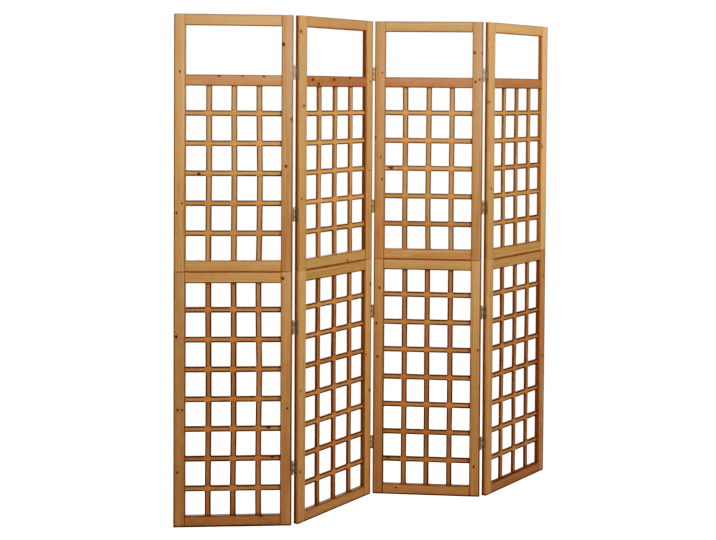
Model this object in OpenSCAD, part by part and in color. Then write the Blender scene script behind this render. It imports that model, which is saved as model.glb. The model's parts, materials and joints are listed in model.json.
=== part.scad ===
// Folding screen of four open lattice panels on knuckle hinges.
// Each panel is two frames, one standing on the other, with a mortised frame and half-lapped slats.
// Panel coordinates: X along the panel, Y from its front face to its back face, Z up from the floor.

/* [Panel frame] */
// Width of one panel over both stiles
panel_w = 410; // [390:5:450]
// Height of one frame; a panel is two of them, one on the other
frame_h = 900; // [860:10:960]
// Thickness of the stiles and rails
frame_t = 20; // [20:1:24]
// Width of a stile, seen from the front
stile_w = 40; // [40:1:50]
// Height of a rail, seen from the front
rail_h = 40; // [36:1:50]
// Radius of the eased edges of stiles and rails
frame_ease = 1.5; // [0.5:0.25:2]

/* [Lattice] */
// Cells side by side
cells_across = 4; // [2:1:5]
// Rows of cells in the lower frame
lower_rows = 8; // [7:1:9]
// Rows of cells in the upper frame, below its open window
upper_rows = 6; // [4:1:6]
// Width of a slat
slat_w = 21; // [16:1:24]
// Thickness of a slat
slat_t = 8; // [6:1:9]
// Depth of the lattice behind the front face
slat_back = 9; // [4:1:9]
// Radius of the eased edges of slats
slat_ease = 1.25; // [0.5:0.25:1.5]

/* [Joinery] */
// Length of a rail's tenon
tenon_l = 15; // [10:1:15]
// Thickness of a rail's tenon
tenon_t = 7; // [5:1:9]
// Height of a rail's tenon
tenon_h = 26; // [20:1:28]
// Depth to which a slat's end sits in its mortise
slat_seat = 6; // [3:1:8]
// Diameter of the dowels between the lower and the upper frame
dowel_d = 8; // [6:1:8]
// Length of those dowels
dowel_l = 60; // [40:5:80]
// Spare depth of a dowel's hole, at each end
dowel_spare = 1; // [0.5:0.5:2]

/* [Hinges] */
// Height of a hinge
hinge_h = 50; // [40:1:60]
// Distance from a frame's end to the middle of a hinge
hinge_inset = 200; // [100:10:250]
// Width of a hinge leaf on the stile's edge
leaf_w = 18; // [16:1:19]
// Thickness of a hinge leaf
leaf_t = 1; // [0.8:0.1:1.2]
// Outer diameter of the knuckles
knuckle_d = 5; // [4.8:0.1:6]
// Knuckles on one hinge, shared by its two leaves
knuckles = 5; // [3:2:7]
// Space between two knuckles, and between a knuckle and the other leaf
knuckle_gap = 0.4; // [0.3:0.05:0.6]
// Diameter of the hinge pin
pin_d = 2.8; // [2.4:0.1:2.8]
// Running clearance of the pin, on the radius
pin_clearance = 0.05; // [0.02:0.01:0.1]
// Diameter of the pin's riveted heads
pin_head_d = 4.2; // [3.6:0.1:4.6]
// Height of the pin's riveted heads
pin_head_h = 0.8; // [0.6:0.1:1.2]
// Distance of the wood from the knuckles
wood_gap = 0.1; // [0.05:0.05:0.3]

/* [Screws] */
// Diameter of a countersunk head
screw_head_d = 5.8; // [5:0.1:6.4]
// Height of the countersunk head
screw_head_h = 1.4; // [1.2:0.1:1.8]
// Diameter of the shank
screw_d = 3; // [2.5:0.1:3.2]
// Length of a screw, head included
screw_l = 14; // [10:1:16]
// Length of its point
screw_tip = 2.5; // [1.5:0.5:3]
// Distance between the two screws of a leaf
screw_pitch = 30; // [20:1:34]

/* [Pose] */
// Heading of panel 1, so that both ends of the screen stand level with each other
heading_1 = -24; // [-45:0.5:0]
// Fold from panel 1 to panel 2, away from the viewer
fold_1 = 53; // [0:0.5:180]
// Fold from panel 2 to panel 3, towards the viewer
fold_2 = 61.5; // [0:0.5:180]
// Fold from panel 3 to panel 4, away from the viewer
fold_3 = 60; // [0:0.5:180]

/* [Hidden] */
first = 1;
last = 4;
joints = [1:last - 1];
clear_w = panel_w - 2 * stile_w;
lattice_low_h = frame_h - 2 * rail_h;
cell_w = (clear_w - (cells_across - 1) * slat_w) / cells_across;
cell_h = (lattice_low_h - (lower_rows - 1) * slat_w) / lower_rows;
lattice_up_h = upper_rows * cell_h + (upper_rows - 1) * slat_w;
// Bottoms of the rails, bottom rail first, within their own frame
lower_rail_z = [0, frame_h - rail_h];
upper_rail_z = [0, rail_h + lattice_up_h, frame_h - rail_h];
// Left sides of the uprights and bottoms of the crossbars, both counted from the panel's corner
upright_x = [for (i = [1:cells_across - 1]) stile_w + i * cell_w + (i - 1) * slat_w];
lower_bar_z = [for (i = [1:lower_rows - 1]) rail_h + i * cell_h + (i - 1) * slat_w];
upper_bar_z = [for (i = [1:upper_rows - 1]) rail_h + i * cell_h + (i - 1) * slat_w];
// Middles of the hinges, within a frame, and middles of a hinge's screws, from its bottom
hinge_z = [hinge_inset, frame_h - hinge_inset];
screw_z = [(hinge_h - screw_pitch) / 2, (hinge_h + screw_pitch) / 2];
lap_t = slat_t / 2;
tenon_y = (frame_t - tenon_t) / 2;
half_gap = knuckle_d / 2 + wood_gap;
pin_off = knuckle_d / 2;
knuckle_l = (hinge_h - (knuckles - 1) * knuckle_gap) / knuckles;
knuckle_step = knuckle_l + knuckle_gap;
margin = 1;
$fn = 48;

// Layout seen from above. A ridge points at the viewer and is hinged behind, a valley in front.
function along(a) = [cos(a), sin(a)];
function behind(a) = [-sin(a), cos(a)];
function heading(k) = heading_1 + (k > 1 ? fold_1 : 0) - (k > 2 ? fold_2 : 0) + (k > 3 ? fold_3 : 0);
function is_valley(j) = j == 2;
function pin_depth(j) = is_valley(j) ? -pin_off : frame_t + pin_off;
function start(k) = k == first ? [0, 0]
    : pin_at(k - 1) + half_gap * along(heading(k)) - pin_depth(k - 1) * behind(heading(k));
function pin_at(j) = start(j) + (panel_w + half_gap) * along(heading(j)) + pin_depth(j) * behind(heading(j));
corners = [for (k = [first:last], x = [0, panel_w], y = [0, frame_t])
    start(k) + x * along(heading(k)) + y * behind(heading(k))];
function middle(axis) = (min([for (c = corners) c[axis]]) + max([for (c = corners) c[axis]])) / 2;

NODES = concat(
    [for (k = [first:last], part = ["lower_left_stile", "lower_right_stile", "lower_rails", "lower_uprights",
        "lower_crossbars", "upper_left_stile", "upper_right_stile", "upper_rails", "upper_uprights",
        "upper_crossbars", "joining_dowels", "hinge_screws"]) str("panel_", k, "_", part)],
    [for (j = joints, part = ["_left_leaves", "_right_leaves", "_hinge_pins"]) str("fold_", j, part)]);
node = "all";

// Puts a piece that is drawn in panel coordinates where panel k stands
module on_panel(k) {
    translate([start(k)[0] - middle(0), start(k)[1] - middle(1), 0]) rotate(heading(k)) children();
}

// Rectangle from the origin with rounded corners
module eased_rect(w, h, r) {
    translate([r, 0]) square([w - 2 * r, h]);
    translate([0, r]) square([w, h - 2 * r]);
    for (x = [r, w - r], y = [r, h - r]) translate([x, y]) circle(r = r);
}

// Bar along X, given its depth in Y and its height in Z
module bar_along_x(length, depth, height, r) {
    rotate([90, 0, 90]) linear_extrude(length) eased_rect(depth, height, r);
}

// Stile with all its edges eased, its ends too, so that the seam between the two frames shows as a line
module stile_blank() {
    intersection() {
        linear_extrude(frame_h) eased_rect(stile_w, frame_t, frame_ease);
        bar_along_x(stile_w, frame_t, frame_h, frame_ease);
    }
}

// Left stile. Its inner side takes the rails' tenons and the crossbars' ends, its outer side the hinges.
module stile(rail_z, bar_z, dowel_z, hinged) {
    difference() {
        stile_blank();
        for (z = rail_z) translate([stile_w - tenon_l, tenon_y, z + (rail_h - tenon_h) / 2])
            cube([tenon_l + margin, tenon_t, tenon_h]);
        for (z = bar_z) translate([stile_w - slat_seat, slat_back, z])
            cube([slat_seat + margin, slat_t, slat_w]);
        translate([stile_w / 2, frame_t / 2, dowel_z])
            cylinder(d = dowel_d, h = dowel_l + 2 * dowel_spare, center = true);
        if (hinged) for (z = hinge_z) translate([-leaf_t, frame_t / 2, z - hinge_h / 2]) leaf_screws();
    }
}

// A right stile is the left one turned over
module right_stile(rail_z, bar_z, dowel_z, hinged) {
    translate([panel_w, 0, 0]) mirror([1, 0, 0]) stile(rail_z, bar_z, dowel_z, hinged);
}

// Rail with a tenon at each end, and mortises for the uprights where the lattice meets it
module rail(z, lattice_above, lattice_below) {
    difference() {
        translate([stile_w, 0, z]) union() {
            bar_along_x(clear_w, frame_t, rail_h, frame_ease);
            translate([-tenon_l, tenon_y, (rail_h - tenon_h) / 2])
                cube([clear_w + 2 * tenon_l, tenon_t, tenon_h]);
        }
        if (lattice_above) for (x = upright_x) translate([x, slat_back, z + rail_h - slat_seat])
            cube([slat_w, slat_t, slat_seat + margin]);
        if (lattice_below) for (x = upright_x) translate([x, slat_back, z - margin])
            cube([slat_w, slat_t, slat_seat + margin]);
    }
}

module lower_rails() {
    rail(lower_rail_z[0], true, false);
    rail(lower_rail_z[1], false, true);
}

module upper_rails() {
    rail(upper_rail_z[0], true, false);
    rail(upper_rail_z[1], false, true);
    rail(upper_rail_z[2], false, false);
}

// Upright slats. Their front half is cut away where a crossbar passes.
module uprights(lattice_h, bar_z) {
    for (x = upright_x) difference() {
        translate([x, slat_back, rail_h - slat_seat])
            linear_extrude(lattice_h + 2 * slat_seat) eased_rect(slat_w, slat_t, slat_ease);
        for (z = bar_z) translate([x - margin, slat_back - margin, z])
            cube([slat_w + 2 * margin, lap_t + margin, slat_w]);
    }
}

// Crossbars. Their back half is cut away where an upright passes.
module crossbars(bar_z) {
    for (z = bar_z) difference() {
        translate([stile_w - slat_seat, slat_back, z])
            bar_along_x(clear_w + 2 * slat_seat, slat_t, slat_w, slat_ease);
        for (x = upright_x) translate([x, slat_back + lap_t, z - margin])
            cube([slat_w, lap_t + margin, slat_w + 2 * margin]);
    }
}

module joining_dowels() {
    for (x = [stile_w / 2, panel_w - stile_w / 2]) translate([x, frame_t / 2, frame_h])
        cylinder(d = dowel_d, h = dowel_l, center = true);
}

// Countersunk screw along X, its head's face at the origin
module screw() {
    rotate([0, 90, 0]) rotate_extrude() polygon([[0, 0], [screw_head_d / 2, 0], [screw_d / 2, screw_head_h],
        [screw_d / 2, screw_l - screw_tip], [0, screw_l]]);
}

// The screws of one leaf, from the leaf's bottom
module leaf_screws() {
    for (z = screw_z) translate([0, 0, z]) screw();
}

module hinge_screws(k) {
    if (k > first) for (f = [0, 1], z = hinge_z)
        translate([-leaf_t, frame_t / 2, f * frame_h + z - hinge_h / 2]) leaf_screws();
    if (k < last) for (f = [0, 1], z = hinge_z)
        translate([panel_w + leaf_t, frame_t / 2, f * frame_h + z - hinge_h / 2])
            mirror([1, 0, 0]) leaf_screws();
}

// Left leaf of a hinge, with the pin's line at the origin: a plate with the knuckles first, first + 2 and so on
module leaf(first_knuckle) {
    difference() {
        union() {
            translate([-half_gap, -pin_off - leaf_w, 0]) cube([leaf_t, leaf_w - knuckle_gap, hinge_h]);
            for (i = [first_knuckle:2:knuckles - 1]) translate([0, 0, i * knuckle_step]) {
                cylinder(d = knuckle_d, h = knuckle_l);
                translate([-half_gap, -pin_off - margin, 0]) cube([leaf_t, pin_off + margin, knuckle_l]);
            }
        }
        translate([0, 0, -margin]) cylinder(d = pin_d + 2 * pin_clearance, h = hinge_h + 2 * margin);
        translate([leaf_t - half_gap, -pin_off - frame_t / 2, 0]) mirror([1, 0, 0]) leaf_screws();
    }
}

module hinge_pin() {
    cylinder(d = pin_d, h = hinge_h);
    for (z = [-pin_head_h, hinge_h]) translate([0, 0, z]) cylinder(d = pin_head_d, h = pin_head_h);
}

// Repeats a piece at the four hinges of joint j. The piece is drawn for a ridge, and turned over for a valley.
module at_hinges(j, x) {
    for (f = [0, 1], z = hinge_z) translate([x, pin_depth(j), f * frame_h + z - hinge_h / 2])
        mirror([0, is_valley(j) ? 1 : 0, 0]) children();
}

module left_leaves(j) {
    at_hinges(j, panel_w + half_gap) leaf(0);
}

module right_leaves(j) {
    at_hinges(j, -half_gap) mirror([1, 0, 0]) leaf(1);
}

module hinge_pins(j) {
    at_hinges(j, panel_w + half_gap) hinge_pin();
}

// True where a node of this panel or joint is asked for
function wanted(group, number, part) = node == "all" || node == str(group, "_", number, "_", part);

for (k = [first:last]) {
    if (wanted("panel", k, "lower_left_stile"))
        color("peru") on_panel(k) stile(lower_rail_z, lower_bar_z, frame_h, k > first);
    if (wanted("panel", k, "lower_right_stile"))
        color("peru") on_panel(k) right_stile(lower_rail_z, lower_bar_z, frame_h, k < last);
    if (wanted("panel", k, "lower_rails")) color("sandybrown") on_panel(k) lower_rails();
    if (wanted("panel", k, "lower_uprights")) color("tan") on_panel(k) uprights(lattice_low_h, lower_bar_z);
    if (wanted("panel", k, "lower_crossbars")) color("burlywood") on_panel(k) crossbars(lower_bar_z);
    if (wanted("panel", k, "upper_left_stile"))
        color("peru") on_panel(k) raised() stile(upper_rail_z, upper_bar_z, 0, k > first);
    if (wanted("panel", k, "upper_right_stile"))
        color("peru") on_panel(k) raised() right_stile(upper_rail_z, upper_bar_z, 0, k < last);
    if (wanted("panel", k, "upper_rails")) color("sandybrown") on_panel(k) raised() upper_rails();
    if (wanted("panel", k, "upper_uprights"))
        color("tan") on_panel(k) raised() uprights(lattice_up_h, upper_bar_z);
    if (wanted("panel", k, "upper_crossbars")) color("burlywood") on_panel(k) raised() crossbars(upper_bar_z);
    if (wanted("panel", k, "joining_dowels")) color("wheat") on_panel(k) joining_dowels();
    if (wanted("panel", k, "hinge_screws")) color("dimgray") on_panel(k) hinge_screws(k);
}
for (j = joints) {
    if (wanted("fold", j, "left_leaves")) color("silver") on_panel(j) left_leaves(j);
    if (wanted("fold", j, "right_leaves")) color("darkgray") on_panel(j + 1) right_leaves(j);
    if (wanted("fold", j, "hinge_pins")) color("gray") on_panel(j) hinge_pins(j);
}

// Lifts a piece of the upper frame onto the lower one
module raised() {
    translate([0, 0, frame_h]) children();
}
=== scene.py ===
# %% [markdown]
# A folding screen is four open lattice panels of stained pine, joined edge to edge by small steel hinges.
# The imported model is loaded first: it is the fixed frame, and every piece made here takes its place from it.
# Each wooden part and each piece of a hinge is modelled again, because a board needs its own grain, knots and
# tone, and a hinge its rolled knuckles. All sizes are in metres.
# %% Load the frame
import json
import math
import random
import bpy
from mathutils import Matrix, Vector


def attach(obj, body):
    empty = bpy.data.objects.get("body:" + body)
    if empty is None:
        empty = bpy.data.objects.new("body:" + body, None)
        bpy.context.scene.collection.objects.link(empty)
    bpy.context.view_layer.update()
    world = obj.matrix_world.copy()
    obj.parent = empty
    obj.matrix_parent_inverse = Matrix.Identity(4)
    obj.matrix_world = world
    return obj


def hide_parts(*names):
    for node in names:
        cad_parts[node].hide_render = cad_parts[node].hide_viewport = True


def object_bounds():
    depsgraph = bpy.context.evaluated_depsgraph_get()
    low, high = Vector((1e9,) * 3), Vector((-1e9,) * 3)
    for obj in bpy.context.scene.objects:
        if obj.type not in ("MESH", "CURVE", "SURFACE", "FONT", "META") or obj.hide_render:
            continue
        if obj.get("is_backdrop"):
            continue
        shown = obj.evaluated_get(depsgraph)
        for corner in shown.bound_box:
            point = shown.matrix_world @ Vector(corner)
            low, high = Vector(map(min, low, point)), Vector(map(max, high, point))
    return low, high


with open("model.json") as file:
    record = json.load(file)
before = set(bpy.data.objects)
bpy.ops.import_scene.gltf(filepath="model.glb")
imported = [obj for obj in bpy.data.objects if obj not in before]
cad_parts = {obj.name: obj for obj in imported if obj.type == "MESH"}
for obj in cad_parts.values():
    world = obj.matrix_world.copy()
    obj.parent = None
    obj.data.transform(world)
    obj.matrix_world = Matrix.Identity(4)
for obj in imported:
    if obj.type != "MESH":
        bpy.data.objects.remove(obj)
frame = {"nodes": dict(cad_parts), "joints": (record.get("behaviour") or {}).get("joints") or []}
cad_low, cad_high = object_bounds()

from types import SimpleNamespace

import bmesh
import bpy
import numpy as np
from mathutils import Matrix, Vector

# %% [markdown]
# Everything is drawn in panel coordinates: X runs along the panel, Y from its front face to its back, Z up.
# The driving sizes of the panel come first, and the rest is worked out from them.
# %% Driving sizes
MM = 0.001
PANEL_W = 410 * MM
FRAME_H = 900 * MM
FRAME_T = 20 * MM
STILE_W = 40 * MM
RAIL_H = 40 * MM
FRAME_EASE = 1.5 * MM
CELLS_ACROSS = 4
LOWER_ROWS = 8
UPPER_ROWS = 6
SLAT_W = 21 * MM
SLAT_T = 8 * MM
SLAT_BACK = 9 * MM
SLAT_EASE = 1.25 * MM
TENON_L = 15 * MM
TENON_T = 7 * MM
TENON_H = 26 * MM
SLAT_SEAT = 6 * MM
HINGE_H = 50 * MM
HINGE_INSET = 200 * MM
LEAF_W = 18 * MM
LEAF_T = 1 * MM
KNUCKLE_D = 5 * MM
KNUCKLES = 5
KNUCKLE_GAP = 0.4 * MM
PIN_D = 2.8 * MM
WOOD_GAP = 0.1 * MM
PANELS = (1, 2, 3, 4)
JOINTS = (1, 2, 3)

CLEAR_W = PANEL_W - 2 * STILE_W
LOWER_LATTICE_H = FRAME_H - 2 * RAIL_H
CELL_W = (CLEAR_W - (CELLS_ACROSS - 1) * SLAT_W) / CELLS_ACROSS
CELL_H = (LOWER_LATTICE_H - (LOWER_ROWS - 1) * SLAT_W) / LOWER_ROWS
UPPER_LATTICE_H = UPPER_ROWS * CELL_H + (UPPER_ROWS - 1) * SLAT_W


def between_cells(start, cell, cells):
    """Where each slat between the cells of a lattice begins."""
    return [start + i * cell + (i - 1) * SLAT_W for i in range(1, cells)]


UPRIGHT_X = between_cells(STILE_W, CELL_W, CELLS_ACROSS)
LOWER_BAR_Z = between_cells(RAIL_H, CELL_H, LOWER_ROWS)
UPPER_BAR_Z = between_cells(RAIL_H, CELL_H, UPPER_ROWS)
LOWER_RAIL_Z = [0, FRAME_H - RAIL_H]
UPPER_RAIL_Z = [0, RAIL_H + UPPER_LATTICE_H, FRAME_H - RAIL_H]
HINGE_Z = [HINGE_INSET, FRAME_H - HINGE_INSET]
HALF_GAP = KNUCKLE_D / 2 + WOOD_GAP
PIN_OFF = KNUCKLE_D / 2
print(f"cells are {CELL_W / MM:.2f} by {CELL_H / MM:.2f} mm")

# %% [markdown]
# The record says where each hinge line is and how far each joint folds back to flat. From these two facts
# follow the headings of the panels, so the places of the pieces never drift from the CAD model.
# Ridges, which point at the viewer, are hinged behind. The valley in the middle is hinged in front.
# %% Where the panels stand
joint = {j["name"]: j for j in frame["joints"]}
pin_at = {j: Vector(joint[f"fold_{j}"]["pos_m"][:2]) for j in JOINTS}


def is_valley(j):
    """The middle joint folds the other way from its neighbours."""
    return j == 2


def pin_depth(j):
    """How far behind the panel's front face the pins of joint j are."""
    return -PIN_OFF if is_valley(j) else FRAME_T + PIN_OFF


def fold_angle(j):
    """The turn from panel j to the next one. Turning back by it makes the two flat."""
    low, high = joint[f"fold_{j}"]["range_deg"]
    return -math.radians(high if is_valley(j) else low)


seen_from_pin_1 = pin_at[2] - pin_at[1]
in_panel_2 = Vector((PANEL_W + 2 * HALF_GAP, pin_depth(2) - pin_depth(1)))
heading = {2: math.atan2(seen_from_pin_1.y, seen_from_pin_1.x) - math.atan2(in_panel_2.y, in_panel_2.x)}
heading[1] = heading[2] - fold_angle(1)
heading[3] = heading[2] + fold_angle(2)
heading[4] = heading[3] + fold_angle(3)


def stand(k):
    """The matrix that takes panel coordinates to where panel k stands."""
    j, x = (1, PANEL_W + HALF_GAP) if k == PANELS[0] else (k - 1, -HALF_GAP)
    turn = Matrix.Rotation(heading[k], 4, "Z")
    return Matrix.Translation(pin_at[j].to_3d()) @ turn @ Matrix.Translation((-x, -pin_depth(j), 0))


for k in PANELS:
    print(f"panel {k} heads {math.degrees(heading[k]):.2f} degrees")

# %% [markdown]
# The camera is placed as the photographer's: at eye height, four and a half metres in front of the first
# panel. Its place, turn and lens were fitted to the outlines of the four panels. The picture is a part cut
# from a wider one, so the lens is shifted and the camera turned only a little, which keeps the stiles nearly
# upright. The image is 716 by 540 pixels.
# %% The camera
IMAGE_W, IMAGE_H = 716, 540
CAMERA_PLACE = Vector((0.813, -4.4181, 1.5475))
CAMERA_YAW, CAMERA_PITCH, CAMERA_ROLL = math.radians(4.223), math.radians(-1.63), math.radians(0.525)
FOCAL_PIXELS = 1251.6
OPTICAL_AXIS = (500.7, 124.85)

bpy.ops.object.select_all(action="DESELECT")
bpy.ops.object.camera_add()
camera = bpy.context.object
camera.name = "camera"
camera.matrix_world = (
    stand(1)
    @ Matrix.Translation(CAMERA_PLACE)
    @ Matrix.Rotation(-CAMERA_YAW, 4, "Z")
    @ Matrix.Rotation(math.pi / 2 + CAMERA_PITCH, 4, "X")
    @ Matrix.Rotation(CAMERA_ROLL, 4, "Z")
)
camera.data.lens = FOCAL_PIXELS * camera.data.sensor_width / IMAGE_W
camera.data.shift_x = (IMAGE_W / 2 - OPTICAL_AXIS[0]) / IMAGE_W
camera.data.shift_y = (OPTICAL_AXIS[1] - IMAGE_H / 2) / IMAGE_W
bpy.context.scene.camera = camera
print("camera stands at", [round(c, 3) for c in camera.matrix_world.translation])

# %% [markdown]
# A material is easier to read as a formula than as a web of nodes. This small class wraps one socket, and the
# usual signs of arithmetic add the Math nodes. Colours and vectors have nodes of their own, since a Math node
# turns a colour grey. The method called node makes any node. A formula starts from a socket without a link.
# %% Shader formulas
class Socket:
    """One output socket of a material, and the arithmetic that builds on it."""

    def __init__(self, tree, link=None):
        self.tree = tree
        self.link = link

    def node(self, kind, settings=(), sockets=(), out=0):
        """Any node: its settings are set first, then the values or links of its sockets."""
        made = self.tree.nodes.new("ShaderNode" + kind)
        for name, value in dict(settings).items():
            setattr(made, name, value)
        for name, value in dict(sockets).items():
            if isinstance(value, Socket):
                self.tree.links.new(value.link, made.inputs[name])
            else:
                made.inputs[name].default_value = value
        return Socket(self.tree, made.outputs[out])

    def math(self, operation, *values):
        """A Math node on this value and the others."""
        return self.node("Math", {"operation": operation}, dict(enumerate((self, *values))))

    def __add__(self, other):
        return self.math("ADD", other)

    def __sub__(self, other):
        return self.math("SUBTRACT", other)

    def __mul__(self, other):
        return self.math("MULTIPLY", other)

    def __truediv__(self, other):
        return self.math("DIVIDE", other)

    def __rsub__(self, other):
        return self.math("MULTIPLY_ADD", -1.0, other)

    __radd__ = __add__
    __rmul__ = __mul__

    def smooth(self, low, high):
        """0 below low, 1 above high, and a soft step between."""
        settings = {"interpolation_type": "SMOOTHSTEP"}
        return self.node("MapRange", settings, {"Value": self, "From Min": low, "From Max": high})

    def vector(self, operation, value):
        """A Vector Math node on this vector and another."""
        return self.node("VectorMath", {"operation": operation}, {0: self, 1: value})

    def parts(self):
        """The X, Y and Z of this vector."""
        return [self.node("SeparateXYZ", (), {0: self}, out) for out in range(3)]

    def between(self, first, second):
        """The colour that lies between two others by this share."""
        return self.node("Mix", {"data_type": "RGBA"}, {"Factor": self, 6: first, 7: second}, out=2)

    def mixed(self, colour, share):
        """This colour, mixed with another by a share that may vary over the surface."""
        return share.between(self, colour)

    def noise(self, stretch, detail=2.0, roughness=0.5):
        """Noise of about -1 to 1 on this vector, with its size along each axis set by stretch."""
        place = self.vector("MULTIPLY", stretch)
        sockets = {"Vector": place, "Scale": 1.0, "Detail": detail, "Roughness": roughness}
        return (self.node("TexNoise", (), sockets) - 0.5) * 2.0

    def bump(self, strength, distance):
        """The normal of a surface with this relief, where 1 is distance high."""
        return self.node("Bump", (), {"Strength": strength, "Distance": distance, "Height": self})


print("sockets can be added, multiplied and mixed")

# %% [markdown]
# A formula begins with what a point knows: where it is on its object, or an attribute that its mesh carries.
# It ends at a socket of the Principled shader. What is the same all over is set on the shader itself.
# %% Where formulas begin and end
def attribute(start, name, out=1):
    """An attribute of the mesh. Output 1 is its vector and output 2 its number."""
    return start.node("Attribute", {"attribute_name": name}, out=out)


def coordinates(start):
    """Where a point is on its object."""
    return start.node("TexCoord", out="Object")


def new_material(name, **constants):
    """A material, the start of its formulas, and its Principled shader with these constants."""
    material = bpy.data.materials.new(name)
    material.use_nodes = True
    shader = material.node_tree.nodes["Principled BSDF"]
    for socket, value in constants.items():
        shader.inputs[socket.replace("_", " ")].default_value = value
    return material, Socket(material.node_tree), shader


def feed(shader, **values):
    """Links values that vary over the surface to the shader's sockets."""
    for socket, value in values.items():
        value.tree.links.new(value.link, shader.inputs[socket.replace("_", " ")])


print("materials can be made")

# %% [markdown]
# Pine is a cone of rings sawn into boards, so its figure is worked out in the solid: the distance from the
# tree's pith gives the ring, and where a board cuts the rings slantwise, arches appear on its face without
# being drawn. The rings sway a little and bend round the knots. Each board carries its own numbers for this:
# its coordinates (grain), the place of its pith, which also sets where its noise is read, and four knots.
# %% Rings and knots
RING_STEP = 3.4 * MM
RING_SWAY, RING_WAVE, KNOT_PULL = 4.5 * MM, 0.9 * MM, 5.0 * MM
KNOTS_A_BOARD = 4
KNOT_STRETCH = 1.35
KNOT_REACH = (0.6, 4.5)
# How often each kind of noise repeats in a metre: across the board, through it and along the grain.
SWAY = (9.0, 9.0, 1.6)
WAVE = (40.0, 40.0, 7.0)
STREAKS = (70.0, 70.0, 1.8)
THREADS = (230.0, 230.0, 2.6)
BLOTCHES = (16.0, 16.0, 3.5)
MOTTLING = (60.0, 60.0, 34.0)
FLUSHES = (24.0, 24.0, 9.0)
FIBRES_ACROSS, FIBRES_ALONG = 900.0, 14.0
# Takes the noise of one board far from that of the next, which has another pith.
APART = (300.0, 0.0, 6000.0)


def knot_share(start, x, z, name):
    """Distance from a knot's middle in its own radii, drawn out along the grain."""
    knot_x, knot_z, radius = attribute(start, name).parts()
    across = (x - knot_x) / radius
    along = (z - knot_z) / (radius * KNOT_STRETCH)
    return (across * across + along * along).math("SQRT")


def nearest_knot(start, x, z):
    """The same for the nearest knot of the board."""
    near = knot_share(start, x, z, "knot_1")
    for i in range(2, KNOTS_A_BOARD + 1):
        near = near.math("MINIMUM", knot_share(start, x, z, f"knot_{i}"))
    return near


def late_wood(grain, pith, here, near):
    """How far a point is in the dark late wood of its ring, from 0 to 1."""
    x, y, z = grain.parts()
    pith_x, pith_y, slope = pith.parts()
    sway = here.noise(SWAY, detail=1.0) * RING_SWAY
    wave = here.noise(WAVE, detail=1.0) * RING_WAVE
    pull = (1.0 - near.smooth(*KNOT_REACH)) * KNOT_PULL
    dx = x - pith_x + z * slope
    dy = y - pith_y
    radius = (dx * dx + dy * dy).math("SQRT") + sway + wave + pull
    ring = (radius / RING_STEP).math("FRACT")
    return ring.smooth(0.35, 0.88) * (1.0 - ring.smooth(0.92, 1.0))


print("a ring is", RING_STEP / MM, "mm wide")

# %% [markdown]
# The colour and the relief of pine read the same things again and again, so these are gathered once: where a
# point is in its board, how near a knot it is and on what kind of face, and the noises, from fine fibre to
# broad flushes. A board's tone attribute holds how light it is, how red, and how much stain and painted shade
# its rims and sides take.
# %% What the formulas of pine read
def read_board(start, fineness):
    """The sockets that pine is made from."""
    wood = SimpleNamespace()
    grain, pith = attribute(start, "grain"), attribute(start, "pith")
    here = grain.vector("ADD", pith.vector("MULTIPLY", APART))
    wood.x, wood.y, wood.z = grain.parts()
    wood.height = coordinates(start).parts()[2]
    # The third number is the share of stain and painted shade on the rims and sides.
    wood.tone, wood.redness, wood.stain = attribute(start, "tone").parts()
    side = attribute(start, "side", out=2)
    wood.wide = 1.0 - side.smooth(0.0, 0.4)
    wood.eased = side.smooth(0.6, 1.0)
    wood.narrow = 1.0 - wood.wide - wood.eased
    wood.near = nearest_knot(start, wood.x, wood.z)
    wood.late = late_wood(grain, pith, here, wood.near)
    fibres = (FIBRES_ACROSS * fineness, FIBRES_ACROSS * fineness, FIBRES_ALONG)
    wood.fibre = here.noise(fibres, detail=3.0, roughness=0.6)
    wood.streak = here.noise(STREAKS)
    wood.thread = here.noise(THREADS)
    wood.blotch = here.noise(BLOTCHES)
    wood.mottle = here.noise(MOTTLING, detail=3.0)
    wood.flush = here.noise(FLUSHES, detail=1.0)
    return wood


print("boards can be read")

# %% [markdown]
# Bare pine starts from the early wood, with pink streaks, olive mottling, the red of heartwood, the late wood
# and the knots laid over it, each by a share of its own.
# %% Bare pine
EARLY_WOOD = (0.450, 0.242, 0.108, 1)
LATE_WOOD = (0.330, 0.156, 0.060, 1)
PINK_STREAK = (0.630, 0.256, 0.116, 1)
OLIVE_PATCH = (0.370, 0.275, 0.100, 1)
RED_HEART = (0.400, 0.130, 0.070, 1)
KNOT_CORE = (0.075, 0.030, 0.014, 1)
KNOT_RING = (0.300, 0.105, 0.038, 1)


def bare_wood(wood):
    """The colour of the timber before the stain."""
    pink = (wood.streak * 0.9 + wood.thread * 0.8 + wood.blotch * 0.3).smooth(-0.5, 0.6)
    colour = (pink * 0.7).between(EARLY_WOOD, PINK_STREAK)
    olive = (wood.mottle + wood.streak * 0.4 - wood.flush * 0.5).smooth(-0.1, 0.6)
    colour = colour.mixed(OLIVE_PATCH, olive * 0.40)
    heart = (wood.redness + wood.blotch * 0.22 + wood.flush * 0.45 - 0.1).math("MAXIMUM", 0.0)
    colour = colour.mixed(RED_HEART, heart * 0.8)
    colour = colour.mixed(LATE_WOOD, wood.late * (0.50 + wood.blotch * 0.2))
    colour = colour.mixed(KNOT_RING, (1.0 - wood.near.smooth(0.9, 1.9)) * 0.75)
    return colour.mixed(KNOT_CORE, 1.0 - wood.near.smooth(0.75, 1.15))


print("bare pine has seven colours")

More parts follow.
